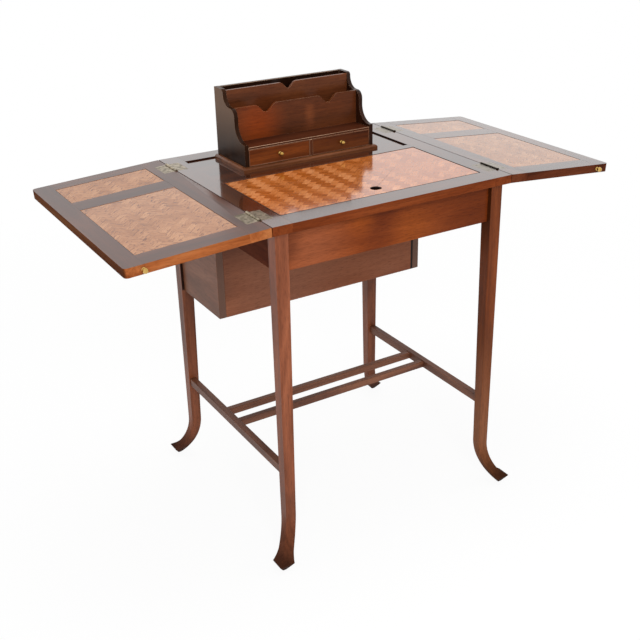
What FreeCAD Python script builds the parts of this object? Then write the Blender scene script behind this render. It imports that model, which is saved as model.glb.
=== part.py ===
import FreeCAD, Part
import math
import os
import Sketcher

# Mechanical writing table, standing open: both leaves out, the letter rack raised.
# Millimetres and degrees. X runs along the front to the right, Y to the back, Z up,
# with the origin on the floor under the middle of the top.

os.makedirs("parts", exist_ok=True)
doc = FreeCAD.newDocument("WritingTable")
sheet = doc.addObject("Spreadsheet::Sheet", "Sizes")
sheet_row = 0
nodes = []

UP = FreeCAD.Vector(0, 0, 1)
BACK = FreeCAD.Vector(0, 1, 0)
RIGHT = FreeCAD.Vector(1, 0, 0)
diagonal_share = math.sqrt(0.5)


class Size:
    """A length or an angle that carries its number and the formula that gives it."""

    def __init__(self, number, formula):
        self.number = number
        self.formula = formula

    def __add__(self, other):
        other = as_size(other)
        return Size(self.number + other.number, f"({self.formula} + {other.formula})")

    def __sub__(self, other):
        other = as_size(other)
        return Size(self.number - other.number, f"({self.formula} - {other.formula})")

    def __mul__(self, share):
        return Size(self.number * share, f"({self.formula} * {share!r})")

    def __truediv__(self, share):
        return Size(self.number / share, f"({self.formula} / {share!r})")

    def __neg__(self):
        return Size(-self.number, f"(0 - {self.formula})")

    def __radd__(self, other):
        return as_size(other) + self

    def __rsub__(self, other):
        return as_size(other) - self


def as_size(value):
    """Takes a plain number, which is only ever zero, as a size."""
    if isinstance(value, Size):
        return value
    return Size(float(value), repr(float(value)))


def size(name, number):
    """Writes one driving dimension into the spreadsheet and returns it."""
    global sheet_row
    sheet_row += 1
    sheet.set(f"A{sheet_row}", name)
    sheet.set(f"B{sheet_row}", str(number))
    sheet.setAlias(f"B{sheet_row}", name)
    return Size(float(number), f"Sizes.{name}")


# Top
table_height = size("table_height", 750)
centre_width = size("centre_width", 560)
top_depth = size("top_depth", 514)
top_thick = size("top_thick", 18)
front_rail_width = size("front_rail_width", 48)
cross_rail_width = size("cross_rail_width", 22)
rack_opening_depth = size("rack_opening_depth", 165)
back_rail_width = size("back_rail_width", 44)
top_stile_width = size("top_stile_width", 42.1)
lip_width = size("lip_width", 8)
lip_thick = size("lip_thick", 6)

# Writing panel
panel_gap = size("panel_gap", 1.0)
panel_seat_gap = size("panel_seat_gap", 0.3)
panel_drop = size("panel_drop", 0.3)
finger_hole_width = size("finger_hole_width", 20)
finger_hole_inset = size("finger_hole_inset", 35)

# Legs, cut to one curve on two faces
leg_width = size("leg_width", 28)
leg_setback_side = size("leg_setback_side", 12)
leg_setback_front = size("leg_setback_front", 14)
leg_plain_below = size("leg_plain_below", 10)
ankle_height = size("ankle_height", 105)
ankle_width = size("ankle_width", 23)
instep_height = size("instep_height", 35)
instep_reach = size("instep_reach", 19)
instep_bend = size("instep_bend", 138)
toe_height = size("toe_height", 18)
toe_reach = size("toe_reach", 39)
toe_bend = size("toe_bend", 60)
sole_reach = size("sole_reach", 27)
sole_length = size("sole_length", 8)
heel_bend = size("heel_bend", 167.5)

# Stretchers
stretcher_height = size("stretcher_height", 202)
stretcher_thick = size("stretcher_thick", 18)
stretcher_width = size("stretcher_width", 15)
stretcher_inset = size("stretcher_inset", 2.5)
stretcher_tenon = size("stretcher_tenon", 8)
long_stretcher_width = size("long_stretcher_width", 13)
long_stretcher_thick = size("long_stretcher_thick", 16)
long_stretcher_spacing = size("long_stretcher_spacing", 56)
long_stretcher_back = size("long_stretcher_back", 21)
long_stretcher_tenon = size("long_stretcher_tenon", 6)

# Aprons, back board and well
apron_height = size("apron_height", 82)
front_inset = size("front_inset", 8)
side_inset = size("side_inset", 6)
side_thick = size("side_thick", 16)
well_drop = size("well_drop", 300)
well_wall = size("well_wall", 16)
well_floor_thick = size("well_floor_thick", 8)
compartment_floor_thick = size("compartment_floor_thick", 6)
compartment_floor_rise = size("compartment_floor_rise", 5)
batten_width = size("batten_width", 22)
batten_inset = size("batten_inset", 14)
batten_top_gap = size("batten_top_gap", 6)

# Leaves
leaf_left_droop_degrees = size("leaf_left_droop_degrees", 3.2)
leaf_right_droop_degrees = size("leaf_right_droop_degrees", 4.7)
leaf_meeting_gap = size("leaf_meeting_gap", 0.8)
joint_gap = size("joint_gap", 1.8)
leaf_inner_stile_width = size("leaf_inner_stile_width", 45)
leaf_outer_stile_width = size("leaf_outer_stile_width", 37)
leaf_front_rail_width = size("leaf_front_rail_width", 46)
leaf_mid_rail_width = size("leaf_mid_rail_width", 51)
leaf_back_rail_width = size("leaf_back_rail_width", 38)
leaf_corner_radius = size("leaf_corner_radius", 8)
leaf_small_panel_depth = size("leaf_small_panel_depth", 101)
leaf_panel_thick = size("leaf_panel_thick", 14)
leaf_panel_line = size("leaf_panel_line", 0.6)
leaf_panel_drop = size("leaf_panel_drop", 0.4)
tongue_thick = size("tongue_thick", 6)
tongue_depth = size("tongue_depth", 6)
tongue_play = size("tongue_play", 0.4)

# Hinges
hinge_rise = size("hinge_rise", 0.25)
hinge_from_middle = size("hinge_from_middle", 186)
hinge_length = size("hinge_length", 54)
hinge_leaf_width = size("hinge_leaf_width", 27)
hinge_leaf_thick = size("hinge_leaf_thick", 1.8)
knuckle_radius = size("knuckle_radius", 3)
knuckle_clearance = size("knuckle_clearance", 0.4)
knuckle_gap = size("knuckle_gap", 0.3)
pin_radius = size("pin_radius", 1.4)
pin_fit = size("pin_fit", 0.05)
knuckle_count = 3
screw_head_radius = size("screw_head_radius", 3)
screw_radius = size("screw_radius", 1.4)
screw_length = size("screw_length", 11)
screw_head_thick = size("screw_head_thick", 1)
screw_edge = size("screw_edge", 7.5)
screw_head_sides = 16
screw_shank_sides = 12

# Leaf knobs and drawer knobs
leaf_knob_from_edge = size("leaf_knob_from_edge", 34)
leaf_knob_radius = size("leaf_knob_radius", 5.5)
drawer_knob_radius = size("drawer_knob_radius", 5)
knob_neck_length = size("knob_neck_length", 4)
knob_shank_radius = size("knob_shank_radius", 2)
knob_band_degrees = 20
leaf_knob_shank_length = size("leaf_knob_shank_length", 16)
drawer_knob_shank_length = size("drawer_knob_shank_length", 8)
knob_fit = size("knob_fit", 0.05)
knob_standoff = size("knob_standoff", 0.3)

# Rising platform
platform_drop = size("platform_drop", 3)
platform_thick = size("platform_thick", 12)
platform_gap = size("platform_gap", 1.0)
cheek_thick = size("cheek_thick", 12)
cheek_height = size("cheek_height", 105)
cheek_gap = size("cheek_gap", 0.3)
cheek_shoulder = size("cheek_shoulder", 4.5)

# Letter rack
case_width = size("case_width", 320)
case_setback = size("case_setback", 27.5)
case_depth = size("case_depth", 130.5)
case_floor_thick = size("case_floor_thick", 10)
moulding_reach = size("moulding_reach", 8)
moulding_round = size("moulding_round", 5)
rack_side_thick = size("rack_side_thick", 9)
side_front_height = size("side_front_height", 46.5)
side_front_flat = size("side_front_flat", 4.5)
lower_sweep = size("lower_sweep", 37)
riser_height = size("riser_height", 12.5)
bump_radius = size("bump_radius", 17)
bump_flat = size("bump_flat", 6)
upper_sweep = size("upper_sweep", 26)
top_round = size("top_round", 8)
rack_back_thick = size("rack_back_thick", 8)
shelf_height = size("shelf_height", 36)
shelf_thick = size("shelf_thick", 5)
partition_thick = size("partition_thick", 6)
divider_thick = size("divider_thick", 6)
back_divider_place = size("back_divider_place", 92)
back_divider_height = size("back_divider_height", 103)
front_divider_place = size("front_divider_place", 54)
front_divider_height = size("front_divider_height", 72)
notch_round = size("notch_round", 12)
back_notch_depth = size("back_notch_depth", 14)
back_notch_flat = size("back_notch_flat", 5)
front_notch_depth = size("front_notch_depth", 17)
front_notch_flat = size("front_notch_flat", 9)
front_notch_spacing = size("front_notch_spacing", 154)

# Drawers
drawer_gap = size("drawer_gap", 0.4)
drawer_recess = size("drawer_recess", 0.5)
drawer_front_thick = size("drawer_front_thick", 8)
drawer_wall = size("drawer_wall", 5)
drawer_floor_thick = size("drawer_floor_thick", 3)
drawer_box_height = size("drawer_box_height", 31)
drawer_back_gap = size("drawer_back_gap", 3)

# Levels and places that several pieces share
overrun = top_thick
top_under = table_height - top_thick
edge_x = centre_width / 2 - joint_gap / 2
hinge_x = centre_width / 2
hinge_z = table_height + hinge_rise
half_depth = top_depth / 2
open_x = edge_x - top_stile_width
panel_front = -half_depth + front_rail_width
rack_back = half_depth - back_rail_width
rack_front = rack_back - rack_opening_depth
panel_back = rack_front - cross_rail_width
leg_out_x = hinge_x - leg_setback_side
leg_out_y = half_depth - leg_setback_front
leg_in_x = leg_out_x - leg_width
leg_in_y = leg_out_y - leg_width
side_out = leg_out_x - side_inset
side_in = side_out - side_thick
apron_bottom = top_under - apron_height
well_bottom = table_height - well_drop
well_front_y = rack_front - well_wall
well_floor_top = well_bottom + well_floor_thick


def bind(thing, place, formula):
    """Binds one property to a formula over the spreadsheet."""
    thing.setExpression(place, as_size(formula).formula)


def node(thing, label):
    """Names a finished piece, which is exported under this label."""
    thing.Label = label
    nodes.append(thing)
    return thing


def board(x, y, z, side=1):
    """A squared board between two places on each axis; side -1 mirrors it across x."""
    if side < 0:
        x = (-x[1], -x[0])
    thing = doc.addObject("Part::Box", "Board")
    for edge, axis, (low, high) in (("Length", "x", x), ("Width", "y", y), ("Height", "z", z)):
        bind(thing, edge, high - low)
        bind(thing, "Placement.Base." + axis, low)
    return thing


def rod(axis, start, radius, length):
    """A cylinder from a start point along UP, BACK or RIGHT."""
    thing = doc.addObject("Part::Cylinder", "Rod")
    thing.Placement.Rotation = FreeCAD.Rotation(UP, axis)
    bind(thing, "Radius", radius)
    bind(thing, "Height", length)
    for name, place in zip("xyz", start):
        bind(thing, "Placement.Base." + name, place)
    return thing


def group(things):
    """Several solids held as one object."""
    thing = doc.addObject("Part::Compound", "Group")
    thing.Links = things
    return thing


def cut(base, tools):
    """The base piece with the tools' shapes taken away."""
    thing = doc.addObject("Part::Cut", "Cut")
    thing.Base = base
    thing.Tool = tools[0] if len(tools) == 1 else group(tools)
    return thing


def fuse(things):
    """Pieces that are worked from one board or casting."""
    thing = doc.addObject("Part::MultiFuse", "Fuse")
    thing.Shapes = things
    thing.Refine = True
    return thing


def edge_curve(start, end, bend):
    """A straight edge, or the arc of a given radius; a negative radius bends the other way."""
    first = FreeCAD.Vector(start[0].number, start[1].number, 0)
    last = FreeCAD.Vector(end[0].number, end[1].number, 0)
    if bend is None:
        return Part.LineSegment(first, last), 1, 2
    radius = abs(bend.number)
    chord = last - first
    turn = 1 if bend.number > 0 else -1
    across = FreeCAD.Vector(-chord.y, chord.x, 0).normalize() * turn
    reach = math.sqrt(max(radius ** 2 - (chord.Length / 2) ** 2, 0))
    centre = (first + last) / 2 + across * reach
    angles = [math.atan2(p.y - centre.y, p.x - centre.x) for p in (first, last)]
    circle = Part.Circle(centre, UP, radius)
    if turn > 0:
        return Part.ArcOfCircle(circle, angles[0], angles[1]), 1, 2
    return Part.ArcOfCircle(circle, angles[1], angles[0]), 2, 1


def fix_corner(sketch, edge, end, corner):
    """Ties one corner of an outline to its two places in the spreadsheet."""
    for kind, axis, place in (("DistanceX", -2, corner[0]), ("DistanceY", -1, corner[1])):
        if place.number == 0:
            sketch.addConstraint(Sketcher.Constraint("PointOnObject", edge, end, axis))
        else:
            rule = Sketcher.Constraint(kind, -1, 1, edge, end, place.number)
            number = sketch.addConstraint(rule)
            bind(sketch, f"Constraints[{number}]", place)


def outline(body, plane, *wires):
    """A sketch of closed wires. A corner is (across, up) or (across, up, bend to the next)."""
    sketch = body.newObject("Sketcher::SketchObject", body.Name + "Outline")
    face = [item for item in body.Origin.OriginFeatures if item.Role == plane][0]
    sketch.AttachmentSupport = (face, [""])
    sketch.MapMode = "FlatFace"
    for corners in wires:
        draw_wire(sketch, [tuple(as_size(place) for place in corner) for corner in corners])
    return sketch


def draw_wire(sketch, corners):
    """Draws one closed wire and ties its corners and bends to the spreadsheet."""
    edges = []
    for i, corner in enumerate(corners):
        bend = corner[2] if len(corner) > 2 else None
        curve, first, last = edge_curve(corner, corners[(i + 1) % len(corners)], bend)
        edges.append((sketch.addGeometry(curve), first, last, bend))
    for i, (edge, first, last, bend) in enumerate(edges):
        following = edges[(i + 1) % len(edges)]
        sketch.addConstraint(Sketcher.Constraint("Coincident", edge, last, following[0], following[1]))
        fix_corner(sketch, edge, first, corners[i])
        if bend is not None:
            number = sketch.addConstraint(Sketcher.Constraint("Radius", edge, abs(bend.number)))
            bind(sketch, f"Constraints[{number}]", bend if bend.number > 0 else -bend)


def shaped_board(name, plane, corners, thickness):
    """A board sawn to an outline, its thickness running to the right or to the back."""
    body = doc.addObject("PartDesign::Body", name)
    pad = body.newObject("PartDesign::Pad", name + "Pad")
    pad.Profile = outline(body, plane, corners)
    pad.Reversed = plane == "XZ_Plane"
    bind(pad, "Length", thickness)
    body.Tip = pad
    return body


def put(thing, x, y, z):
    """Puts a piece's own origin at a point given by formulas."""
    for name, value in zip("xyz", (x, y, z)):
        bind(thing, "Placement.Base." + name, value)
    return thing


def span(first, second):
    """Two places in rising order."""
    return (first, second) if first.number < second.number else (second, first)


# Legs. Each is sawn to one template on two neighbouring faces, so it flares along its diagonal.

def leg_outline(plain_bottom):
    """The template: inner top corner at zero, the toe to the right."""
    return [
        (0, top_under),
        (0, plain_bottom),
        (leg_width - ankle_width, ankle_height, heel_bend),
        (leg_width + sole_reach - sole_length, 0),
        (leg_width + sole_reach, 0),
        (leg_width + toe_reach, toe_height, -toe_bend),
        (leg_width + instep_reach, instep_height, -instep_bend),
        (leg_width, ankle_height),
        (leg_width, top_under),
    ]


def leg_waste(plain_bottom):
    """What the second sawing takes off: a wire on the inner side and one on the outer side."""
    template = leg_outline(plain_bottom)
    far = leg_width + toe_reach + overrun
    inner = template[1:4] + [(0, 0)]
    outer = template[4:9] + [(far, top_under), (far, 0)]
    return inner, outer


def leg(label, turn, side_x, side_y, plain_bottom, stretchers):
    """One leg, turned about its own upright so that the toe points out of the table's corner."""
    body = shaped_board("Leg", "XZ_Plane", leg_outline(plain_bottom), leg_width + toe_reach)
    pocket = body.newObject("PartDesign::Pocket", "LegPocket")
    pocket.Profile = outline(body, "YZ_Plane", *leg_waste(plain_bottom))
    pocket.Type = "ThroughAll"
    pocket.Reversed = True
    body.Tip = pocket
    body.Placement.Rotation = FreeCAD.Rotation(UP, turn)
    put(body, leg_in_x * side_x, leg_in_y * side_y, 0)
    node(cut(body, [stretchers]), label)


def legs(stretchers):
    front = apron_bottom - leg_plain_below
    back = well_bottom - leg_plain_below
    leg("leg_back_right", 0, 1, 1, back, stretchers)
    leg("leg_back_left", 90, -1, 1, back, stretchers)
    leg("leg_front_left", 180, -1, -1, front, stretchers)
    leg("leg_front_right", 270, 1, -1, front, stretchers)


# Stretchers: one on each side, tenoned into the legs, and two long ones housed between them.

def stretchers():
    outer = leg_out_x - stretcher_inset
    inner = outer - stretcher_width
    reach = leg_in_y + leg_width - ankle_width + stretcher_tenon
    top = stretcher_height + stretcher_thick
    long_top = stretcher_height + long_stretcher_thick
    long_reach = inner + long_stretcher_tenon
    longs = []
    for half in (-0.5, 0.5):
        middle = long_stretcher_back + long_stretcher_spacing * half
        across = (middle - long_stretcher_width / 2, middle + long_stretcher_width / 2)
        longs.append(board((-long_reach, long_reach), across, (stretcher_height, long_top)))
    long_pair = node(group(longs), "stretchers_long")
    sides = []
    for side in (1, -1):
        plain = board((inner, outer), (-reach, reach), (stretcher_height, top), side)
        sides.append(cut(plain, [long_pair]))
    return node(group(sides), "stretchers_side")


# Aprons, back board, well and compartment floor, all let in between the legs.

def aprons_and_well():
    height = (apron_bottom, top_under)
    deep = (well_bottom, top_under)
    front_out = leg_out_y - front_inset
    node(board((-leg_in_x, leg_in_x), (-front_out, -leg_in_y), height), "apron_front")
    node(board((-leg_in_x, leg_in_x), (leg_in_y, front_out), deep), "back_board")
    across = (side_in, side_out)
    aprons = [board(across, (-leg_in_y, well_front_y), height, side) for side in (-1, 1)]
    walls = [board(across, (well_front_y, leg_in_y), deep, side) for side in (-1, 1)]
    node(group(aprons), "aprons_side")
    node(group(walls), "well_sides")
    node(board((-side_in, side_in), (well_front_y, rack_front), deep), "well_front")
    floor = (well_bottom, well_floor_top)
    node(board((-side_in, side_in), (rack_front, leg_in_y), floor), "well_bottom")
    low = apron_bottom + compartment_floor_rise
    level = (low, low + compartment_floor_thick)
    node(board((-side_in, side_in), (-leg_in_y, well_front_y), level), "compartment_bottom")
    battens = []
    for side in (-1, 1):
        across = (open_x - platform_gap + cheek_gap, side_in)
        upright = (well_floor_top, top_under - batten_top_gap)
        front = rack_front + batten_inset
        back = rack_back - batten_inset
        battens.append(board(across, (front, front + batten_width), upright, side))
        battens.append(board(across, (back - batten_width, back), upright, side))
    node(group(battens), "guide_battens")


# Hinges. Plates let in flush, knuckles about a brass pin, two countersunk screws a plate.

def hinge_middles():
    return (-hinge_from_middle, hinge_from_middle)


def hinge_screws(axis_x, top, middle, inward, side):
    """The two screws of one plate, let in flush. Flat sides keep their mesh light."""
    x = (axis_x + (hinge_leaf_width - screw_edge) * inward) * side
    reach = hinge_length / 2 - screw_edge
    screws = []
    for y in (middle - reach, middle + reach):
        low = top - screw_head_thick
        head = many_sided(screw_head_sides, screw_head_radius, screw_head_thick)
        shank = many_sided(screw_shank_sides, screw_radius, screw_length - screw_head_thick)
        put(head, x, y, low)
        put(shank, x, y, top - screw_length)
        screws.append(fuse([head, shank]))
    return screws


def many_sided(sides, radius, length):
    thing = doc.addObject("Part::Prism", "ManySided")
    thing.Polygon = sides
    bind(thing, "Circumradius", radius)
    bind(thing, "Height", length)
    return thing


def hinge_plate(axis_x, axis_z, middle, inward, side, turns, screws):
    """One half of a hinge: its plate and every other knuckle, bored for the pin."""
    top = axis_z - hinge_rise
    near = axis_x + (knuckle_radius + knuckle_clearance) * inward
    level = (top - hinge_leaf_thick, top)
    start = middle - hinge_length / 2
    pitch = hinge_length / knuckle_count
    far = axis_x + hinge_leaf_width * inward
    pieces = [board(span(near, far), (start, start + hinge_length), level, side)]
    for turn in turns:
        low = start + pitch * turn + knuckle_gap / 2
        high = low + pitch - knuckle_gap
        pieces.append(board(span(axis_x, near), (low, high), level, side))
        pieces.append(rod(BACK, (axis_x * side, low, axis_z), knuckle_radius, pitch - knuckle_gap))
    bore = rod(BACK, (axis_x * side, start, axis_z), pin_radius + pin_fit, hinge_length)
    return cut(fuse(pieces), [bore] + screws)


def hinge_housing(axis_x, axis_z, middle, inward, side):
    """The wood taken out for a plate and for the knuckles of both halves."""
    top = axis_z - hinge_rise
    far = axis_x + hinge_leaf_width * inward
    start = middle - hinge_length / 2
    level = (top - hinge_leaf_thick, top)
    recess = board(span(axis_x, far), (start, start + hinge_length), level, side)
    wide = knuckle_radius + knuckle_clearance
    return [recess, rod(BACK, (axis_x * side, start, axis_z), wide, hinge_length)]


def frame_hinges():
    """The fixed halves. Returns what the two stiles lose to them."""
    plates, pins, screws = [], [], []
    losses = {1: [], -1: []}
    for side in (1, -1):
        for middle in hinge_middles():
            own = hinge_screws(hinge_x, table_height, middle, -1, side)
            turns = range(0, knuckle_count, 2)
            plates.append(hinge_plate(hinge_x, hinge_z, middle, -1, side, turns, own))
            start = middle - hinge_length / 2
            pins.append(rod(BACK, (hinge_x * side, start, hinge_z), pin_radius, hinge_length))
            losses[side] += hinge_housing(hinge_x, hinge_z, middle, -1, side) + own
            screws += own
    node(group(plates), "hinge_plates_frame")
    node(group(pins), "hinge_pins")
    node(group(screws), "hinge_screws_frame")
    return losses


# Top frame: two stiles that carry the hinges, and three rails between them.
# A lip along the lower edge of the writing panel's opening carries the panel.

def top_frame(losses):
    level = (top_under, table_height)
    lip = (top_under, top_under + lip_thick)
    between = (-open_x, open_x)
    for side, name in ((-1, "left"), (1, "right")):
        stile = board((open_x, edge_x), (-half_depth, half_depth), level, side)
        along = (panel_front + lip_width, panel_back - lip_width)
        ledge = board((open_x - lip_width, open_x), along, lip, side)
        node(cut(fuse([stile, ledge]), losses[side]), "top_stile_" + name)
    front = board(between, (-half_depth, panel_front), level)
    front_ledge = board(between, (panel_front, panel_front + lip_width), lip)
    node(fuse([front, front_ledge]), "top_rail_front")
    cross = board(between, (panel_back, rack_front), level)
    cross_ledge = board(between, (panel_back - lip_width, panel_back), lip)
    node(fuse([cross, cross_ledge]), "top_rail_cross")
    node(board(between, (rack_back, half_depth), level), "top_rail_back")


# Writing panel: a loose board that lifts out by its finger hole.

def writing_panel():
    half = open_x - panel_gap
    front = panel_front + panel_gap
    bottom = top_under + lip_thick + panel_seat_gap
    top = table_height - panel_drop
    plain = board((-half, half), (front, panel_back - panel_gap), (bottom, top))
    centre = (as_size(0), front + finger_hole_inset, bottom - overrun)
    hole = rod(UP, centre, finger_hole_width / 2, top_thick + overrun + overrun)
    node(cut(plain, [hole]), "writing_panel")


# Knobs: a turned brass ball on a neck, with a round shank let into the wood.

def knob(name, ball_radius, shank_length):
    """The knob's own origin is the shank's end; it points to the front.
    The ball is turned in bands: one about its middle, one on each side and a flat end."""
    body = doc.addObject("PartDesign::Body", name)
    steps = [math.radians(knob_band_degrees * turn) for turn in (-3, -1, 1, 3)]
    neck_radius = ball_radius * math.cos(steps[0])
    centre = shank_length + knob_neck_length - ball_radius * math.sin(steps[0])
    corners = [
        (0, 0),
        (knob_shank_radius, 0),
        (knob_shank_radius, shank_length),
        (neck_radius, shank_length),
    ]
    for step in steps:
        corners.append((ball_radius * math.cos(step), centre + ball_radius * math.sin(step)))
    corners.append((0, corners[-1][1]))
    sketch = outline(body, "XY_Plane", corners)
    turning = body.newObject("PartDesign::Revolution", name + "Turning")
    turning.Profile = sketch
    turning.ReferenceAxis = (sketch, ["V_Axis"])
    turning.Angle = 360
    body.Tip = turning
    body.Placement.Rotation = FreeCAD.Rotation(UP, 180)
    return body


# Leaves. Each is a frame of two stiles and three rails round two panels, built flat from
# the hinge axis outwards, then turned about that axis by its droop.

leaf_top = -hinge_rise
leaf_under = leaf_top - top_thick
leaf_length = centre_width / 2 - leaf_meeting_gap / 2
leaf_panel_in = leaf_inner_stile_width
leaf_panel_out = leaf_length - leaf_outer_stile_width
large_front = -half_depth + leaf_front_rail_width
small_back = half_depth - leaf_back_rail_width
small_front = small_back - leaf_small_panel_depth
large_back = small_front - leaf_mid_rail_width


def leaf_piece(thing, label, side, droop):
    """Sets a piece that is built about the hinge axis into its place on the open leaf."""
    thing.Placement.Rotation = FreeCAD.Rotation(BACK * side, 1)
    bind(thing, "Placement.Rotation.Angle", droop)
    put(thing, hinge_x * side, 0, hinge_z)
    return node(thing, label)


def leaf_panel(label, front, back, side, droop):
    """A parquetry panel: its field and the tongue that the frame's groove holds."""
    line = leaf_panel_line
    top = leaf_top - leaf_panel_drop
    field_across = (leaf_panel_in + line, leaf_panel_out - line)
    field = board(field_across, (front + line, back - line), (top - leaf_panel_thick, top), side)
    reach = tongue_depth - tongue_play
    across = (leaf_panel_in - reach, leaf_panel_out + reach)
    tongue = board(across, (front - reach, back + reach), leaf_groove_level(), side)
    leaf_piece(fuse([field, tongue]), label, side, droop)


def leaf_groove_level():
    middle = leaf_top - top_thick / 2
    return (middle - tongue_thick / 2, middle + tongue_thick / 2)


def leaf_groove(front, back, side):
    across = (leaf_panel_in - tongue_depth, leaf_panel_out + tongue_depth)
    return board(across, (front - tongue_depth, back + tongue_depth), leaf_groove_level(), side)


def leaf_hinges(name, side, droop):
    """The moving halves. Returns what the inner stile loses to them."""
    zero = as_size(0)
    plates, screws, losses = [], [], []
    for middle in hinge_middles():
        own = hinge_screws(zero, leaf_top, middle, 1, side)
        turns = range(1, knuckle_count, 2)
        plates.append(hinge_plate(zero, zero, middle, 1, side, turns, own))
        losses += hinge_housing(zero, zero, middle, 1, side) + own
        screws += own
    leaf_piece(group(plates), f"hinge_plates_{name}_leaf", side, droop)
    leaf_piece(group(screws), f"hinge_screws_{name}_leaf", side, droop)
    return losses


def leaf_knob(name, side, droop):
    """The brass knob on the leaf's front edge. Returns the bore that its shank turns in."""
    x = (leaf_length - leaf_knob_from_edge) * side
    z = leaf_top - top_thick / 2
    body = knob("LeafKnob", leaf_knob_radius, leaf_knob_shank_length)
    put(body, x, -half_depth - knob_standoff + leaf_knob_shank_length, z)
    leaf_piece(group([body]), f"leaf_knob_{name}", side, droop)
    bore = knob_shank_radius + knob_fit
    return rod(BACK, (x, -half_depth, z), bore, leaf_knob_shank_length + knob_standoff)


def leaf_outer_stile(side):
    """The stile farthest from the hinges, sawn with its two outer corners rounded."""
    inside = leaf_panel_out * side
    end = leaf_length * side
    bend = leaf_corner_radius * side
    corners = [
        (inside, -half_depth),
        (end - bend, -half_depth, bend),
        (end, -half_depth + leaf_corner_radius),
        (end, half_depth - leaf_corner_radius, bend),
        (end - bend, half_depth),
        (inside, half_depth),
    ]
    return put(shaped_board("OuterStile", "XY_Plane", corners, top_thick), 0, 0, leaf_under)


def leaf(name, side, droop):
    full = (-half_depth, half_depth)
    level = (leaf_under, leaf_top)
    between = (leaf_panel_in, leaf_panel_out)
    grooves = [leaf_groove(large_front, large_back, side), leaf_groove(small_front, small_back, side)]
    inner = board((joint_gap / 2, leaf_panel_in), full, level, side)
    outer = leaf_outer_stile(side)
    hinge_losses = leaf_hinges(name, side, droop)
    bore = leaf_knob(name, side, droop)
    leaf_piece(cut(inner, grooves + hinge_losses), f"leaf_{name}_inner_stile", side, droop)
    leaf_piece(cut(outer, grooves + [bore]), f"leaf_{name}_outer_stile", side, droop)
    front = board(between, (-half_depth, large_front), level, side)
    leaf_piece(cut(front, grooves), f"leaf_{name}_front_rail", side, droop)
    mid = board(between, (large_back, small_front), level, side)
    leaf_piece(cut(mid, grooves), f"leaf_{name}_mid_rail", side, droop)
    back = board(between, (small_back, half_depth), level, side)
    leaf_piece(cut(back, grooves), f"leaf_{name}_back_rail", side, droop)
    leaf_panel(f"leaf_{name}_large_panel", large_front, large_back, side, droop)
    leaf_panel(f"leaf_{name}_small_panel", small_front, small_back, side, droop)


# Rising rack: a platform with two cheeks that run in the well, and the letter rack on it.

platform_top = table_height - platform_drop
platform_under = platform_top - platform_thick
case_x = case_width / 2
case_in = case_x - rack_side_thick
case_front = rack_front + case_setback
case_back = case_front + case_depth
case_floor_top = platform_top + case_floor_thick
rack_board_front = case_back - rack_back_thick
shelf_under = case_floor_top + shelf_height
shelf_top = shelf_under + shelf_thick


def platform():
    half = open_x - platform_gap
    along = (rack_front + platform_gap, rack_back - platform_gap)
    node(board((-half, half), along, (platform_under, platform_top)), "rack_platform")
    low_front = rack_front + cheek_gap
    wide = leg_in_y - cheek_gap - low_front
    step_front = platform_gap - cheek_gap
    step_back = rack_back - platform_gap - low_front
    shoulder = cheek_height - cheek_shoulder
    corners = [
        (0, 0),
        (wide, 0),
        (wide, shoulder),
        (step_back, shoulder),
        (step_back, cheek_height),
        (step_front, cheek_height),
        (step_front, shoulder),
        (0, shoulder),
    ]
    cheeks = []
    for start in (-half, half - cheek_thick):
        body = shaped_board("Cheek", "YZ_Plane", corners, cheek_thick)
        cheeks.append(put(body, start, low_front, platform_under - cheek_height))
    node(group(cheeks), "rack_cheeks")


def rack_side(label, start):
    """A side board with its swept front edge, from the drawers up to the level top."""
    lower = side_front_flat + lower_sweep
    upper = lower + bump_radius + bump_flat
    height = side_front_height + lower_sweep + riser_height + bump_radius + upper_sweep + top_round
    bump_foot = side_front_height + lower_sweep + riser_height
    corners = [
        (0, 0),
        (case_depth, 0),
        (case_depth, height),
        (upper + upper_sweep + top_round, height, top_round),
        (upper + upper_sweep, height - top_round, -upper_sweep),
        (upper, bump_foot + bump_radius),
        (upper - bump_flat, bump_foot + bump_radius, bump_radius),
        (lower, bump_foot),
        (lower, side_front_height + lower_sweep, -lower_sweep),
        (side_front_flat, side_front_height),
        (0, side_front_height),
    ]
    body = shaped_board("RackSide", "YZ_Plane", corners, rack_side_thick)
    node(put(body, start, case_front, case_floor_top), label)
    return case_floor_top + height


def notch(centre, height, depth, flat):
    """A notch in a divider's top edge: rounded shoulders, slopes and a flat bottom."""
    across = notch_round * diagonal_share
    drop = notch_round - across
    reach = flat / 2 + depth - drop + across
    return [
        (centre + reach, height, notch_round),
        (centre + reach - across, height - drop),
        (centre + flat / 2, height - depth),
        (centre - flat / 2, height - depth),
        (centre - reach + across, height - drop, notch_round),
        (centre - reach, height),
    ]


def divider(label, depth_place, height, notches):
    wide = case_in * 2
    corners = [(0, 0), (wide, 0), (wide, height)]
    for corner_list in notches:
        corners += corner_list
    corners.append((0, height))
    body = shaped_board("Divider", "XZ_Plane", corners, divider_thick)
    node(put(body, -case_in, case_front + depth_place, shelf_top), label)


def dividers():
    back = notch(case_in, back_divider_height, back_notch_depth, back_notch_flat)
    divider("rack_divider_back", back_divider_place, back_divider_height, [back])
    fronts = []
    for half in (0.5, -0.5):
        centre = case_in + front_notch_spacing * half
        fronts.append(notch(centre, front_divider_height, front_notch_depth, front_notch_flat))
    divider("rack_divider_front", front_divider_place, front_divider_height, fronts)


def common(first, second):
    thing = doc.addObject("Part::Common", "Common")
    thing.Base = first
    thing.Tool = second
    return thing


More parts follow.
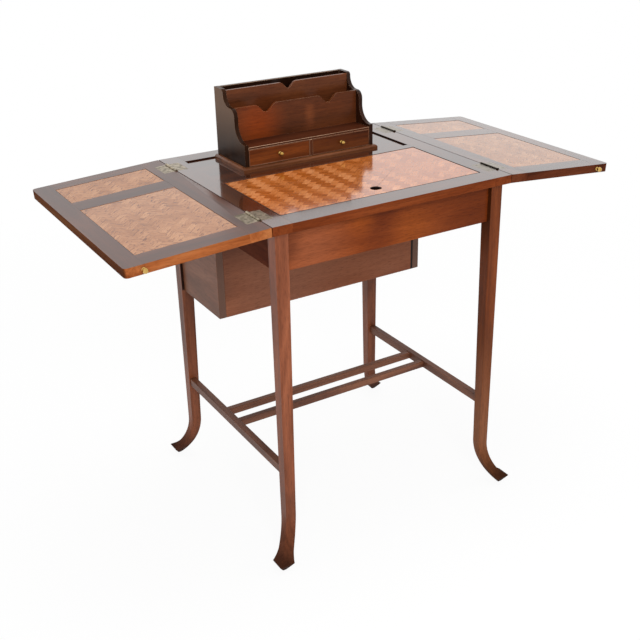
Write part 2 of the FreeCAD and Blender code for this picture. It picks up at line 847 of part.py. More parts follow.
def base_moulding():
    """Three mitred strips with a rounded top edge, planted round the case's foot."""
    reach = moulding_reach
    height = case_floor_thick
    outer = case_x + reach
    low_front = case_front - reach
    depth = case_back - low_front
    rising = [(0, 0), (reach, 0), (reach, height), (moulding_round, height, moulding_round)]
    rising.append((0, height - moulding_round))
    falling = [(0, 0), (reach, 0), (reach, height - moulding_round, moulding_round)]
    falling += [(reach - moulding_round, height), (0, height)]
    strips = []
    front = shaped_board("FrontMoulding", "YZ_Plane", rising, outer * 2)
    plan = [(0, 0), (outer * 2, 0), (outer * 2 - reach, reach), (reach, reach)]
    cover = shaped_board("FrontMitre", "XY_Plane", plan, height)
    for body in (front, cover):
        put(body, -outer, low_front, platform_top)
    strips.append(common(front, cover))
    right_plan = [(0, reach), (reach, 0), (reach, depth), (0, depth)]
    left_plan = [(0, 0), (reach, reach), (reach, depth), (0, depth)]
    for start, section, plan in ((case_x, falling, right_plan), (-outer, rising, left_plan)):
        strip = shaped_board("SideMoulding", "XZ_Plane", section, depth)
        cover = shaped_board("SideMitre", "XY_Plane", plan, height)
        for body in (strip, cover):
            put(body, start, low_front, platform_top)
        strips.append(common(strip, cover))
    node(group(strips), "rack_base_moulding")


def rack():
    platform()
    base_moulding()
    whole = (-case_x, case_x)
    between = (-case_in, case_in)
    along = (case_front, rack_board_front)
    node(board(whole, (case_front, case_back), (platform_top, case_floor_top)), "rack_case_bottom")
    rack_side("rack_side_left", -case_x)
    top = rack_side("rack_side_right", case_in)
    node(board(between, (rack_board_front, case_back), (case_floor_top, top)), "rack_back_board")
    node(board(between, along, (shelf_under, shelf_top)), "rack_shelf")
    half = partition_thick / 2
    node(board((-half, half), along, (case_floor_top, shelf_under)), "rack_partition")
    dividers()


# Drawers: a front with a ball knob, and a thin box behind it.

def drawer(name, side):
    left = partition_thick / 2 + drawer_gap
    right = case_in - drawer_gap
    low = case_floor_top + drawer_gap
    front = case_front + drawer_recess
    front_back = front + drawer_front_thick
    back = rack_board_front - drawer_back_gap
    face = board((left, right), (front, front_back), (low, shelf_under - drawer_gap), side)
    middle_x = (left + right) / 2 * side
    middle_z = (low + shelf_under - drawer_gap) / 2
    body = knob("DrawerKnob", drawer_knob_radius, drawer_knob_shank_length)
    put(body, middle_x, front + drawer_knob_shank_length, middle_z)
    node(body, "drawer_knob_" + name)
    node(cut(face, [body]), "drawer_front_" + name)
    level = (low, low + drawer_box_height)
    wall = drawer_wall
    floor = (low, low + drawer_floor_thick)
    box = [
        board((left, left + wall), (front_back, back), level, side),
        board((right - wall, right), (front_back, back), level, side),
        board((left + wall, right - wall), (back - wall, back), level, side),
        board((left + wall, right - wall), (front_back, back - wall), floor, side),
    ]
    node(group(box), "drawer_box_" + name)


def check_and_write():
    """Stops on any failed object, then writes each piece to its own file."""
    doc.recompute()
    for thing in doc.Objects:
        if "Invalid" in thing.State or "Error" in thing.State:
            raise RuntimeError(f"{thing.Name} ({thing.Label}) did not build: {thing.State}")
    for thing in nodes:
        if thing.Shape.isNull() or not thing.Shape.isValid() or not thing.Shape.Solids:
            raise RuntimeError(f"{thing.Label} has no sound shape")
        thing.Shape.exportStep(f"parts/{thing.Label}.step")


legs(stretchers())
aprons_and_well()
top_frame(frame_hinges())
writing_panel()
leaf("left", -1, leaf_left_droop_degrees)
leaf("right", 1, leaf_right_droop_degrees)
rack()
drawer("left", -1)
drawer("right", 1)
check_and_write()
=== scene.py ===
import math

import bpy
import numpy as np
from mathutils import Matrix, Vector


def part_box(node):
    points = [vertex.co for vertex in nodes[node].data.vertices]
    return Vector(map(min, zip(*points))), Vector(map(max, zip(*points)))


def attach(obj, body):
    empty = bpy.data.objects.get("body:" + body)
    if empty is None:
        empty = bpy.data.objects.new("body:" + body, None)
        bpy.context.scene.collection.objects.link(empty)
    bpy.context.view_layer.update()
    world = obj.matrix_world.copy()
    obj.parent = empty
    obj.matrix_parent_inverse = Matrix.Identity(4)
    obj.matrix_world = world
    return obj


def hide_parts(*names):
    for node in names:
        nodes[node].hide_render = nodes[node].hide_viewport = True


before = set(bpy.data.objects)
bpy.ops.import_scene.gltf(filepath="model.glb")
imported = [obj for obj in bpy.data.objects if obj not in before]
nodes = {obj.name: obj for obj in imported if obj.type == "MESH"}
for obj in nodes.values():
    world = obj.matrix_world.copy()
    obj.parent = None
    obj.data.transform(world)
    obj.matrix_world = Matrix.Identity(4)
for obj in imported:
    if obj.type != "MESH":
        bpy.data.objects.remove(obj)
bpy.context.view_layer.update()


# Legs: four squares of Cuban mahogany, sawn to one curve on two faces so that they taper and
# flare at the toe. Stained red brown and French polished by hand, so the film is thin and clear,
# duller here than on the top, with open pores that show as short dark flecks along the grain.

def paint(code):
    """A hex colour as seen on a screen, turned into the linear values that a shader takes."""
    shown = [int(code[i:i + 2], 16) / 255 for i in (1, 3, 5)]
    linear = [c / 12.92 if c <= 0.04045 else ((c + 0.055) / 1.055) ** 2.4 for c in shown]
    return (*linear, 1)


def add(tree, kind, *given, out=None, stops=(), **settings):
    """Adds one node with its settings. Each given value goes to the next input in use: a socket
    is linked, anything else is set. Stops are a ramp's places and colours. Returns an output."""
    node = tree.nodes.new("ShaderNode" + kind)
    for key, value in settings.items():
        setattr(node, key, value)
    for socket, value in zip([s for s in node.inputs if s.enabled], given):
        if isinstance(value, bpy.types.NodeSocket):
            tree.links.new(value, socket)
        elif value is not None:
            socket.default_value = value
    for place, colour in stops[2:]:
        node.color_ramp.elements.new(place)
    for number, (place, colour) in enumerate(stops):
        node.color_ramp.elements[number].position = place
        node.color_ramp.elements[number].color = paint(colour)
    usable = [s for s in node.outputs if s.enabled]
    return node.outputs[out] if out else usable[0] if usable else None


def new_material(name, ior, roughness, coat, coat_roughness, coat_ior=1.5):
    """Wood under shellac: the film's gloss sits in the coat, the wood's own in the base."""
    material = bpy.data.materials.new(name)
    material.use_nodes = True
    tree = material.node_tree
    shader = tree.nodes["Principled BSDF"]
    for key, value in (("IOR", ior), ("Roughness", roughness), ("Coat Weight", coat),
                       ("Coat Roughness", coat_roughness), ("Coat IOR", coat_ior)):
        shader.inputs[key].default_value = value
    return material, tree, shader, add(tree, "TexCoord", out="Object")


# How often each noise repeats in a metre along and across the grain, its detail and its bend.
figure_noise = (3.2, 24, 3, 0.8)
ribbon_noise = (5, 230, 2, 0.3)
pore_noise = (60, 1600, 2, 0.0)
pore_depth, pore_relief, pore_strength = 0.0002, 0.1, 0.6
figure_stops = (0.32, 0.5, 0.7)
face_limits, towards_limits = (0.5, 0.85), (0.6, 0.9)
edge_roughness = 0.85
# Painted shade: near black for the edges that face into the gaps.
inward_painted_shade = "#26130a"


def mahogany(name, grain, tones, start, edge_tones=None, ior=1.25, roughness=0.38, coat=0.0,
             coat_roughness=0.1, coat_ior=1.5, stripe=0.8, patches=(), end_shade=0.35):
    """Mahogany with its grain along one axis. Figure is broad tone, about 40 mm across the grain
    and 300 mm along it; ribbon is the interlocked stripe, drawn 4 mm wide where the real one is
    2; pores are dark flecks 0.6 mm wide and 15 mm long, twice their real size, so that they
    show. Start is where on the plank the piece is cut. Patches are soft clouds laid into the
    colour, each with its middle, reach, colour and strength; some are stain, others painted light
    and painted shade. Edge tones are for faces that don't look up or down, found by the piece's
    own normal. They have no thick film, so they are matt; end shade paints shade on those at the
    ends of the table, and those that look towards its middle are painted near black as the shade
    in the gaps."""
    material, tree, shader, place = new_material(name, ior, roughness, coat, coat_roughness,
                                                 coat_ior)
    layers = []
    for along, across, detail, bend in (figure_noise, ribbon_noise, pore_noise):
        scale = [along if axis == grain else across for axis in "xyz"]
        spot = add(tree, "Mapping", place, (start, start * 0.7, start * 1.3), (0, 0, 0), scale)
        layers.append(add(tree, "TexNoise", spot, 1.0, detail, 0.5, 2.0, bend))
    figure, ribbon, pores = layers
    tone = add(tree, "ValToRGB", figure, stops=list(zip(figure_stops, tones)))
    for middle, reach, colour, strength in patches:
        away = add(tree, "VectorMath", place, middle, operation="DISTANCE", out="Value")
        cloud = add(tree, "MapRange", away, 0.0, reach, strength, 0.0,
                    interpolation_type="SMOOTHSTEP")
        tone = add(tree, "Mix", cloud, tone, paint(colour), data_type="RGBA")
    if edge_tones:
        edge = add(tree, "ValToRGB", figure, stops=list(zip(figure_stops, edge_tones)))
        own = add(tree, "TexCoord", out="Normal")
        sideways, upright = [
            add(tree, "Math", add(tree, "SeparateXYZ", own, out=axis), operation="ABSOLUTE")
            for axis in "XZ"]
        flat = add(tree, "MapRange", upright, *face_limits)
        shade = add(tree, "MapRange", sideways, *face_limits, 1.0, end_shade)
        edge = add(tree, "Mix", 1.0, edge, shade, data_type="RGBA", blend_type="MULTIPLY")
        # Edges that face the table's middle get the painted gap shade.
        outwards = add(tree, "VectorMath", place, own, operation="DOT_PRODUCT", out="Value")
        outwards = add(tree, "Math", outwards, 0.0, operation="GREATER_THAN")
        edge = add(tree, "Mix", outwards, paint(inward_painted_shade), edge, data_type="RGBA")
        tone = add(tree, "Mix", flat, edge, tone, data_type="RGBA")
        film = add(tree, "Math", flat, coat, operation="MULTIPLY")
        tree.links.new(film, shader.inputs["Coat Weight"])
        rough = add(tree, "MapRange", flat, 0.0, 1.0, edge_roughness, roughness)
        tree.links.new(rough, shader.inputs["Roughness"])
    bands = add(tree, "ValToRGB", ribbon, stops=((0.3, "#d2cdc8"), (0.7, "#ffffff")))
    fleck = add(tree, "ValToRGB", pores, stops=((0.36, "#a89c94"), (0.46, "#ffffff")))
    tone = add(tree, "Mix", stripe, tone, bands, data_type="RGBA", blend_type="MULTIPLY")
    tone = add(tree, "Mix", pore_strength, tone, fleck, data_type="RGBA", blend_type="MULTIPLY")
    tree.links.new(tone, shader.inputs["Base Color"])
    bump = add(tree, "Bump", pore_relief, pore_depth, None, pores)
    tree.links.new(bump, shader.inputs["Normal"])
    return material


def lay_over(tree, share, colour):
    """Lays a colour over the finish as it is so far, as strongly as the share says at a point."""
    base = tree.nodes["Principled BSDF"].inputs["Base Color"]
    tone = base.links[0].from_socket
    tree.links.new(add(tree, "Mix", share, tone, colour, data_type="RGBA"), base)


def tint_faces(material, facing, foot, reach, colour, strength):
    """Tints the faces that look one way, more and more over a reach above a height: painted
    shade beside the well, under the apron and on the well's front ends, and painted sheen on the
    rack's side."""
    tree = material.node_tree
    towards = add(tree, "VectorMath", add(tree, "TexCoord", out="Normal"), facing,
                  operation="DOT_PRODUCT", out="Value")
    height = add(tree, "SeparateXYZ", add(tree, "TexCoord", out="Object"), out="Z")
    share = add(tree, "Math", add(tree, "MapRange", towards, *towards_limits, 0.0, strength),
                add(tree, "MapRange", height, foot, foot + reach), operation="MULTIPLY")
    lay_over(tree, share, paint(colour))


def dress(name, material, arris=0.0, arris_finish=None):
    """Gives a CAD piece its finish. The arris is what a maker takes off with fine paper: the
    loose triangles are welded, then every edge sharper than 35 degrees gets a small round, in
    the arris finish where one is given. Beside the gaps that finish is painted shade; on the rack
    it is pale wear with a painted highlight."""
    obj = nodes[name]
    obj.data.materials.clear()
    obj.data.materials.append(material)
    if arris:
        weld = obj.modifiers.new("Weld", "WELD")
        weld.merge_threshold = 0.00001
        bevel = obj.modifiers.new("Arris", "BEVEL")
        bevel.width = arris
        bevel.segments = 2
        bevel.limit_method = "ANGLE"
        bevel.angle_limit = math.radians(35)
        if arris_finish:
            obj.data.materials.append(arris_finish)
            bevel.material = 1


# The back legs and the front right leg take darker copies of the leg tones: painted shade, as the
# light falls from the front left.
leg_tones = ("#6f3a20", "#8a4b2e", "#a45f3e")
shaded_back_leg_tones = ("#5c2f1b", "#784228", "#905338")
shaded_right_leg_tones = ("#5a290b", "#6d3311", "#80401c")
leg_ior, right_leg_ior = 1.3, 1.22
leg_arris = 0.0008
toe_x, toe_y = 0.3, 0.275
# Each toe is painted darker towards the floor.
dark_toe_clouds = [((x, y, 0.0), 0.13, "#2b170e", 0.95)
             for x in (-toe_x, toe_x) for y in (-toe_y, toe_y)]
toe_height, shin_height = 0.02, 0.12
toe_roughness, shin_roughness = 0.95, 0.38
shade_by_well = [((0.27, 0.25, 0.56), 0.14, "#2a150b", 0.8)]
# The front right leg is painted lighter towards its foot.
lighter_lower_right_leg = [((0.25, -0.24, 0.12), 0.34, "#875434", 0.8)]
# Painted shade on the back left leg's front face above 0.45 m, in the narrow gap beside the well.
painted_shade_beside_well = ((0, -1, 0), 0.45, 0.004, "#1c0b06", 0.95)
# Painted shade on the upper left face of the front right leg, under the apron.
painted_shade_under_apron = ((-1, 0, 0), 0.56, 0.09, "#381a0a", 0.85)
for start, (piece, tones, ior, clouds, tint) in enumerate((
        ("leg_front_left", leg_tones, leg_ior, [], None),
        ("leg_back_left", shaded_back_leg_tones, leg_ior, [], painted_shade_beside_well),
        ("leg_front_right", shaded_right_leg_tones, right_leg_ior, lighter_lower_right_leg, painted_shade_under_apron),
        ("leg_back_right", shaded_back_leg_tones, leg_ior, shade_by_well, None))):
    wood = mahogany("polished_mahogany_" + piece, "z", tones, 1.7 * start, ior=ior,
                    patches=clouds + dark_toe_clouds)
    if tint:
        tint_faces(wood, *tint)
    tree = wood.node_tree
    height = add(tree, "SeparateXYZ", add(tree, "TexCoord", out="Object"), out="Z")
    rough = add(tree, "MapRange", height, toe_height, shin_height, toe_roughness, shin_roughness)
    tree.links.new(rough, tree.nodes["Principled BSDF"].inputs["Roughness"])
    dress(piece, wood, leg_arris)


# Aprons, back board and well: boards tenoned into the legs and nailed into a deep box, of the
# same mahogany. The well hangs in shade, and its polish has gone thin and brown.

def joint_shadow_line(material, middle, half, colour, strength):
    """Painted shadow along a joint: an upright dark line in the finish, half its width each way
    from one x."""
    tree = material.node_tree
    across = add(tree, "SeparateXYZ", add(tree, "TexCoord", out="Object"), out="X")
    line = add(tree, "Math", across, middle, half, operation="COMPARE")
    line = add(tree, "Math", line, strength, operation="MULTIPLY")
    lay_over(tree, line, paint(colour))


apron_tones = ("#6c2e0f", "#7d3914", "#90461d")
# The side aprons take a darker copy of the apron tones: painted shade under the leaves.
shaded_side_apron_tones = ("#512314", "#62311d", "#723e27")
well_tones = ("#6b422c", "#7c4e36", "#8a5c44")
# The well front takes a lighter copy of the well's tones: painted light on the face that looks
# forward.
lit_well_front_tones = ("#743f27", "#7e482e", "#885238")
apron_clouds = (
    ((-0.19, -0.249, 0.68), 0.12, "#9a5636", 0.8), ((-0.03, -0.249, 0.7), 0.07, "#551f07", 0.75),
    ((-0.075, -0.249, 0.72), 0.05, "#9c4b14", 0.6), ((0.05, -0.249, 0.67), 0.08, "#8c4411", 0.6),
    ((0.2, -0.249, 0.68), 0.17, "#5e2506", 0.85), ((-0.24, -0.249, 0.7), 0.05, "#5c2c18", 0.75))
# The dark clouds at the well front's upper corners, under the apron, are painted shade; the pale
# one is stain.
well_front_clouds_and_corner_shade = (
    ((-0.12, 0.03, 0.5), 0.2, "#94614a", 0.5), ((-0.26, 0.03, 0.62), 0.11, "#523226", 0.6),
    ((-0.26, 0.03, 0.52), 0.06, "#5f3d2e", 0.6), ((0.24, 0.03, 0.6), 0.05, "#2a150c", 0.7))
# Painted shadow lines where the apron meets the right leg and at the well front's corner.
joint_shadows = {"apron_front": (0.2387, 0.0013, "#2e1206", 0.8),
         "well_front": (0.243, 0.003, "#0d0503", 0.97)}
# Painted shade on the forward-facing ends of the well sides.
painted_shade_on_well_fronts = ((0, -1, 0), 0.0, 0.01, "#5d4439", 0.9)
board_arris = 0.0008
for start, (piece, grain, tones, finish) in enumerate((
        ("apron_front", "x", apron_tones, {"patches": apron_clouds, "stripe": 0.5, "ior": 1.18}),
        ("aprons_side", "y", shaded_side_apron_tones, {"ior": 1.15, "roughness": 0.8}),
        ("back_board", "x", well_tones, {}),
        ("well_front", "x", lit_well_front_tones, {"stripe": 0.35, "patches": well_front_clouds_and_corner_shade}),
        ("well_sides", "y", well_tones, {"stripe": 0.4}))):
    wood = mahogany("polished_mahogany_" + piece, grain, tones, 11 + 1.9 * start, **finish)
    if piece == "well_sides":
        tint_faces(wood, *painted_shade_on_well_fronts)
    if piece in joint_shadows:
        joint_shadow_line(wood, *joint_shadows[piece])
    dress(piece, wood, board_arris)


# Inside boards: the bottoms of the well and of the compartment, and the battens that guide the
# rack. Planed mahogany left without polish, so it is matt and has darkened with dust.

bare_tones = ("#2b190e", "#382216", "#472e1f")
bare_wood = {"ior": 1.3, "roughness": 0.75}
for start, (piece, grain) in enumerate((("well_bottom", "x"), ("compartment_bottom", "x"),
                                        ("guide_battens", "z"))):
    wood = mahogany("planed_bare_mahogany_" + piece, grain, bare_tones, 30 + 2.1 * start,
                    **bare_wood)
    dress(piece, wood, board_arris)


# Stretchers: a bar between the legs on each side and two thin ones side by side between those,
# tenoned together. Mahogany, with the polish rubbed dull and grey where feet have rested.

stretcher_tones = ("#593424", "#704531", "#86573f")
for start, (piece, grain) in enumerate((("stretchers_side", "y"), ("stretchers_long", "x"))):
    wood = mahogany("rubbed_mahogany_" + piece, grain, stretcher_tones, 40 + 2.3 * start,
                    ior=1.35, roughness=0.45)
    dress(piece, wood, board_arris)


# Top frame and leaf frames: stiles run front to back and rails left to right, tenoned and flush.
# Mahogany polished to the highest gloss on the table. Its top is painted darker than its edges,
# painted shade against the stronger light that falls on it; the edges keep the red brown of the
# aprons.

shade_darkened_top_tones = ("#3a1a0c", "#4a2412", "#5c3019")
edge_tones = ("#642a0c", "#753412", "#87431e")
# The left leaf's edges take a lit copy and the right leaf's a shaded copy of the edge tones:
# painted light and painted shade.
lit_left_edge_tones = ("#8f4b24", "#a75f33", "#bc7645")
shaded_right_edge_tones = ("#48200f", "#5a2a15", "#6b361e")
top_gloss = {"ior": 1.25, "roughness": 0.15, "coat": 1.0, "coat_roughness": 0.06,
             "coat_ior": 1.92, "end_shade": 0.6}
back_gloss = {**top_gloss, "coat_ior": 1.6}
left_gloss = {"ior": 1.15, "roughness": 0.35, "coat": 1.0, "coat_roughness": 0.36,
              "coat_ior": 1.6}
right_gloss = {"ior": 1.2, "roughness": 0.25, "coat": 1.0, "coat_roughness": 0.09}
top_arris = 0.0004
top_pieces = [(piece, grain, edge_tones, top_gloss) for piece, grain in (
    ("top_stile_left", "y"), ("top_stile_right", "y"), ("top_rail_front", "x"),
    ("top_rail_cross", "x"))]
top_pieces.append(("top_rail_back", "x", edge_tones, back_gloss))
for side, tones, gloss in (("left", lit_left_edge_tones, left_gloss),
                           ("right", shaded_right_edge_tones, right_gloss)):
    for part, grain in (("inner_stile", "y"), ("outer_stile", "y"), ("front_rail", "x"),
                        ("mid_rail", "x"), ("back_rail", "x")):
        top_pieces.append((f"leaf_{side}_{part}", grain, tones, gloss))
for start, (piece, grain, sides, gloss) in enumerate(top_pieces):
    wood = mahogany("glossy_dark_mahogany_" + piece, grain, shade_darkened_top_tones, 50 + 1.9 * start, sides,
                    **gloss)
    dress(piece, wood, top_arris)


# Parquetry: small blocks of golden mahogany laid herringbone on a ground board, sawn, glued,
# scraped flush and polished. The blocks of one lean take the light darker than the others, and
# this is painted into their colour, so that rows with toothed edges run from front to back.

def herringbone(name, start, tones, contrast, fade, variety, flecks, ior, coat_ior):
    """The place is turned half a right angle into p and q. Blocks of one lean fill a stepped
    band, where p runs along the block and q across it; blocks of the other lean fill the band
    beyond it, where q runs along and p across. A pair of bands repeats after the block's length
    on both p and q, and a step is as deep as a block is wide. Every block has its own tone, its
    grain runs along it, and a thin dark line of glue parts it from the next. Start moves the
    rows to the right. Contrast is how much darker the second lean is painted, for the light it
    takes; towards the right, under the sheen, this painted contrast fades and the base is painted
    darker. Variety is the spread between blocks, and flecks the strength of the dark gum marks.
    The edges are painted near black as the shade in the gaps, without film."""
    material, tree, shader, place = new_material(name, ior, roughness=0.2, coat=1.0,
                                                 coat_roughness=0.09, coat_ior=coat_ior)
    axes = add(tree, "SeparateXYZ", place).node
    value = {"x": axes.outputs["X"], "y": axes.outputs["Y"]}
    # A ramp to the right, where the sheen lies: the painted contrast fades and the base is painted
    # darker.
    sheen_ramp = add(tree, "MapRange", value["x"], *sheen_ramp_limits, 0.0, 1.0 - fade)
    lean = add(tree, "MapRange", sheen_ramp, 0.0, 1.0, contrast, 0.0)
    length, width = block_length, block_width
    half_turn = math.sqrt(0.5)
    for result, operation, *terms in (
            ("x", "SUBTRACT", "x", start),
            ("sum", "ADD", "y", "x"), ("p", "MULTIPLY", "sum", half_turn),
            ("difference", "SUBTRACT", "y", "x"), ("q", "MULTIPLY", "difference", half_turn),
            ("spread", "SUBTRACT", "p", "q"), ("spread", "ADD", "spread", width),
            ("pair", "DIVIDE", "spread", 2 * length), ("pair", "FLOOR", "pair"),
            ("shift", "MULTIPLY", "pair", length),
            ("p1", "SUBTRACT", "p", "shift"), ("q1", "ADD", "q", "shift"),
            ("row1", "DIVIDE", "q1", width), ("row1", "FLOOR", "row1"),
            ("step1", "MULTIPLY", "row1", width),
            ("along1", "SUBTRACT", "p1", "step1"), ("across1", "SUBTRACT", "q1", "step1"),
            ("short", "LESS_THAN", "along1", 0.0), ("past", "GREATER_THAN", "along1", length),
            ("other", "MAXIMUM", "short", "past"),
            ("pair2", "SUBTRACT", "pair", "short"), ("shift2", "MULTIPLY", "pair2", length),
            ("q2", "ADD", "q", "shift2"),
            ("p2", "SUBTRACT", "p", "shift2"), ("p2", "SUBTRACT", "p2", length),
            ("row2", "DIVIDE", "p2", width), ("row2", "FLOOR", "row2"),
            ("step2", "MULTIPLY", "row2", width), ("across2", "SUBTRACT", "p2", "step2"),
            ("along2", "ADD", "step2", width), ("along2", "SUBTRACT", "along2", "q2")):
        value[result] = add(tree, "Math", *[value.get(t, t) for t in terms], operation=operation)
    along, across, row, pair = [
        add(tree, "Mix", value["other"], value[a], value[b], data_type="FLOAT")
        for a, b in (("along1", "along2"), ("across1", "across2"), ("row1", "row2"),
                     ("pair", "pair2"))]
    number = add(tree, "CombineXYZ", row, pair, value["other"])
    own = add(tree, "TexWhiteNoise", number, noise_dimensions="3D")
    apart = add(tree, "Math", own, noise_apart, operation="MULTIPLY")
    spot = add(tree, "CombineXYZ", along, across, apart)
    streak, pores, gum = [
        add(tree, "TexNoise", add(tree, "VectorMath", spot, scale, operation="MULTIPLY"), 1.0, 2.0)
        for scale in block_noises]
    cloud = add(tree, "TexNoise", place, cloud_noise, 2.0)
    value.update(own=own, streak=streak, cloud=cloud, along=along, across=across)
    for result, operation, *terms in (
            ("lean", "MULTIPLY", "other", lean), ("tone", "SUBTRACT", palest_tone, "lean"),
            ("dull", "MULTIPLY", sheen_ramp, sheen_darkening), ("tone", "SUBTRACT", "tone", "dull"),
            ("own", "MULTIPLY", "own", variety), ("tone", "SUBTRACT", "tone", "own"),
            ("streak", "MULTIPLY", "streak", streaks), ("tone", "ADD", "tone", "streak"),
            ("cloud", "MULTIPLY", "cloud", clouding), ("tone", "ADD", "tone", "cloud"),
            ("tone", "SUBTRACT", "tone", (streaks + clouding) / 2),
            ("end", "SUBTRACT", length, "along"), ("side", "SUBTRACT", width, "across"),
            ("end", "MINIMUM", "end", "along"), ("side", "MINIMUM", "side", "across"),
            ("edge", "MINIMUM", "end", "side")):
        value[result] = add(tree, "Math", *[value.get(t, t) for t in terms], operation=operation)
    tone = add(tree, "ValToRGB", value["tone"], stops=list(zip(block_stops, tones)))
    for strength, pattern, stops in (
            (block_pores, pores, ((0.36, "#93694a"), (0.45, "#ffffff"))),
            (flecks, gum, ((0.34, "#7d4a26"), (0.42, "#ffffff"))),
            (glue_strength, add(tree, "MapRange", value["edge"], 0.0, glue_line),
             ((0.0, "#8a7060"), (1.0, "#ffffff")))):
        dark = add(tree, "ValToRGB", pattern, stops=stops)
        tone = add(tree, "Mix", strength, tone, dark, data_type="RGBA", blend_type="MULTIPLY")
    upright = add(tree, "SeparateXYZ", add(tree, "TexCoord", out="Normal"), out="Z")
    upright = add(tree, "Math", upright, operation="ABSOLUTE")
    flat = add(tree, "MapRange", upright, *face_limits)
    tone = add(tree, "Mix", flat, paint(panel_edge_painted_shade), tone, data_type="RGBA")
    tree.links.new(tone, shader.inputs["Base Color"])
    tree.links.new(flat, shader.inputs["Coat Weight"])
    return material


block_length, block_width = 0.030, 0.0134
row_start, row_shift = -0.0131, 0.011
# How often each noise repeats in a metre along and across a block: streaks 22 by 1.6 mm, pores
# 6 by 0.5 mm, which is twice their real size so that they show, and gum marks 17 by 3 mm. The
# clouds are 70 mm wide and pass over all the blocks alike.
block_noises = ((45, 620, 1), (160, 1900, 1), (60, 340, 1))
cloud_noise, noise_apart = 14.0, 40.0
block_stops = (0.15, 0.5, 0.85)
# Where the panel's painted contrast fades and its base is painted darker, under the sheen.
sheen_ramp_limits = (-0.02, 0.1)
palest_tone, sheen_darkening, streaks, clouding = 0.72, 0.34, 0.7, 0.5
block_pores, glue_strength, glue_line = 0.5, 0.45, 0.0004
# Painted shade: near black on the panels' edges, in the gaps round them.
panel_edge_painted_shade = "#160a06"
panel_finish = {"tones": ("#a95718", "#cc7a3e", "#e39760"), "contrast": 0.38, "fade": 0.25,
                "variety": 0.3, "flecks": 0.35, "ior": 1.35, "coat_ior": 1.65}
leaf_panel_finish = {"tones": ("#8a5730", "#a76f46", "#c08a5f"), "contrast": 0.06, "fade": 1.0,
                     "variety": 0.25, "flecks": 0.75, "ior": 1.1, "coat_ior": 1.4}
left_small_finish = {**leaf_panel_finish, "coat_ior": 1.25}
panel_arris, leaf_panel_arris = 0.0018, 0.0003
# Painted shade on the arrises beside the gaps round the panels and the platform.
shade_painted_arris = mahogany("shade_darkened_arris", "x", ("#1a0d07", "#241209", "#2e180d"), 77,
                       ior=1.3, roughness=0.6)
dress("writing_panel", herringbone("polished_herringbone_writing_panel", row_start,
                                   **panel_finish), panel_arris, shade_painted_arris)
for start, (piece, finish) in enumerate((
        ("leaf_left_large_panel", leaf_panel_finish), ("leaf_left_small_panel", left_small_finish),
        ("leaf_right_large_panel", leaf_panel_finish),
        ("leaf_right_small_panel", leaf_panel_finish))):
    wood = herringbone("polished_herringbone_" + piece, row_start + row_shift * start, **finish)
    dress(piece, wood, leaf_panel_arris, shade_painted_arris)


# Hinges: cast brass plates let in flush, with three knuckles turning on a pin. They were never
# lacquered, so the brass has gone a dull brown grey, brighter where hands and cloths rub it.

def brass(name, dull, bright, low, high, roughness):
    """Clouds about 8 mm across part the dull metal from the rubbed metal, which is smoother."""
    material, tree, shader, place = new_material(name, ior=1.5, roughness=roughness, coat=0.0,
                                                 coat_roughness=0.1)
    cloud = add(tree, "TexNoise", place, rub_noise, 4.0)
    tone = add(tree, "ValToRGB", cloud, stops=((low, dull), (high, bright)))
    tree.links.new(tone, shader.inputs["Base Color"])
    rough = add(tree, "MapRange", cloud, *rub_limits, roughness + dull_gain, roughness - rub_loss)
    tree.links.new(rough, shader.inputs["Roughness"])
    shader.inputs["Metallic"].default_value = 1.0
    return material, tree, place


def paint_right_hinge_light(tree, place, painted_plate_sheen):
    """On the right the flat faces are painted grey, as the sheen on them, and the knuckles are
    painted black, as their shaded side.
    """
    upright = add(tree, "SeparateXYZ", add(tree, "TexCoord", out="Normal"), out="Z")
    upright = add(tree, "Math", upright, operation="ABSOLUTE")
    flat = add(tree, "MapRange", upright, *level_limits)
    grey = add(tree, "Mix", flat, paint(painted_knuckle_shade), paint(painted_plate_sheen), data_type="RGBA")
    across = add(tree, "SeparateXYZ", place, out="X")
    lay_over(tree, add(tree, "Math", across, 0.0, operation="GREATER_THAN"), grey)


rub_noise, rub_limits = 120.0, (0.3, 0.7)
dull_gain, rub_loss = 0.1, 0.05
# Painted shade for the right-hand knuckles.
painted_knuckle_shade = "#2e2822"
level_limits = (0.8, 0.97)
hinge_brass, tree, place = brass("dulled_cast_brass_hinge", "#7a6f5c", "#b8aa92", 0.38, 0.62, 0.3)
# Painted grey sheen on the right hinges' plates and painted shade on their knuckles.
paint_right_hinge_light(tree, place, "#a39a8e")
for piece in ("hinge_plates_frame", "hinge_plates_left_leaf", "hinge_plates_right_leaf",
              "hinge_pins"):
    dress(piece, hinge_brass)


# Hinge screws: brass, with flat heads filed flush with the plate and a sawn slot 0.8 mm wide.
# All the slots were left in line with the plate's end, so each lies at one distance from the
# middle of the table, which is how the finish finds them.

slot_places = (0.1665, 0.2055)
slot_width = 0.0008
screw_brass, tree, place = brass("filed_brass_screw", "#6f6656", "#a2967f", 0.3, 0.7, 0.3)
# Painted grey sheen on the right screws' heads.
paint_right_hinge_light(tree, place, "#958c7f")
# The slots are painted as dark lines, the shade inside them.
back = add(tree, "Math", add(tree, "SeparateXYZ", place, out="Y"), operation="ABSOLUTE")
slots = [add(tree, "Math", back, middle, slot_width / 2, operation="COMPARE")
         for middle in slot_places]
lay_over(tree, add(tree, "Math", *slots, operation="MAXIMUM"), paint("#1b1712"))
for piece in ("hinge_screws_frame", "hinge_screws_left_leaf", "hinge_screws_right_leaf"):
    dress(piece, screw_brass)


# Leaf knobs: a turned brass knob on the front edge of each leaf, a ball on a waisted neck over a
# thin rose, polished bright by use. The shank turns in the outer stile.

